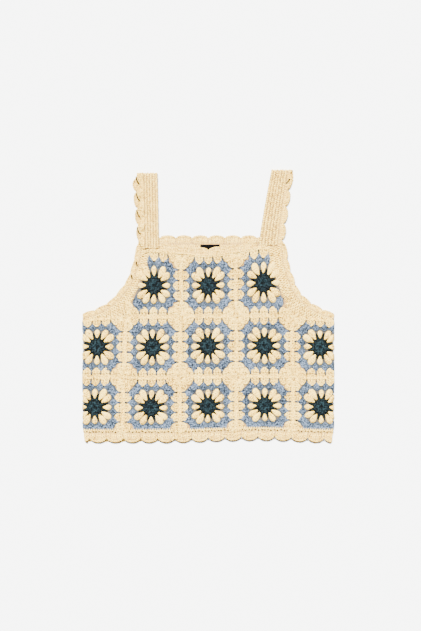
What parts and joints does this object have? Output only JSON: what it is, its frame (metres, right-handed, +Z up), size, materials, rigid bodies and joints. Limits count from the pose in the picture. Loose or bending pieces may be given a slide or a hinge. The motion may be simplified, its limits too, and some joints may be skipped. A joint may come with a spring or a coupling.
{
  "type": "crochet crop tank top laid flat",
  "caption": "Sleeveless crochet crop top laid flat, made of joined granny squares with wide shoulder straps and scalloped shell edgings.",
  "frame": {"origin": "Middle of the bottom of the bounding box, on the surface that the garment lies on.", "axes": "+X to the garment's right as seen from above, along the hem; +Y from the hem towards the shoulders; +Z up, away from the surface, out of the front."},
  "size_m": [0.45, 0.4869, 0.0078],
  "materials": {
    "cotton_cream": "matte",
    "cotton_blue": "matte",
    "cotton_teal": "matte",
    "label_black": "satin"
  },
  "bodies": {
    "root": {"square_front_low_left": "cotton_cream", "square_front_low_centre": "cotton_cream", "square_front_low_right": "cotton_cream", "square_front_mid_left": "cotton_cream", "square_front_mid_centre": "cotton_cream", "square_front_mid_right": "cotton_cream", "square_front_top_left": "cotton_cream", "square_front_top_centre": "cotton_cream", "square_front_top_right": "cotton_cream", "square_side_low_left": "cotton_cream", "square_side_low_right": "cotton_cream", "square_side_mid_left": "cotton_cream", "square_side_mid_right": "cotton_cream", "square_back_low_outer_left": "cotton_cream", "square_back_low_inner_left": "cotton_cream", "square_back_low_inner_right": "cotton_cream", "square_back_low_outer_right": "cotton_cream", "square_back_mid_outer_left": "cotton_cream", "square_back_mid_inner_left": "cotton_cream", "square_back_mid_inner_right": "cotton_cream", "square_back_mid_outer_right": "cotton_cream", "square_back_top_left": "cotton_cream", "square_back_top_right": "cotton_cream", "gusset_front_left": "cotton_cream", "gusset_front_right": "cotton_cream", "gusset_back_left": "cotton_cream", "gusset_back_right": "cotton_cream", "back_band": "cotton_cream", "strap_left": "cotton_cream", "strap_right": "cotton_cream", "edging_hem_front": "cotton_cream", "edging_hem_back": "cotton_cream", "edging_neck_front": "cotton_cream", "edging_neck_back": "cotton_cream", "edging_armhole_front_left": "cotton_cream", "edging_armhole_front_right": "cotton_cream", "edging_armhole_back_left": "cotton_cream", "edging_armhole_back_right": "cotton_cream", "edging_strap_left": "cotton_cream", "edging_strap_right": "cotton_cream", "neck_label": "label_black"}
  },
  "joints": []
}
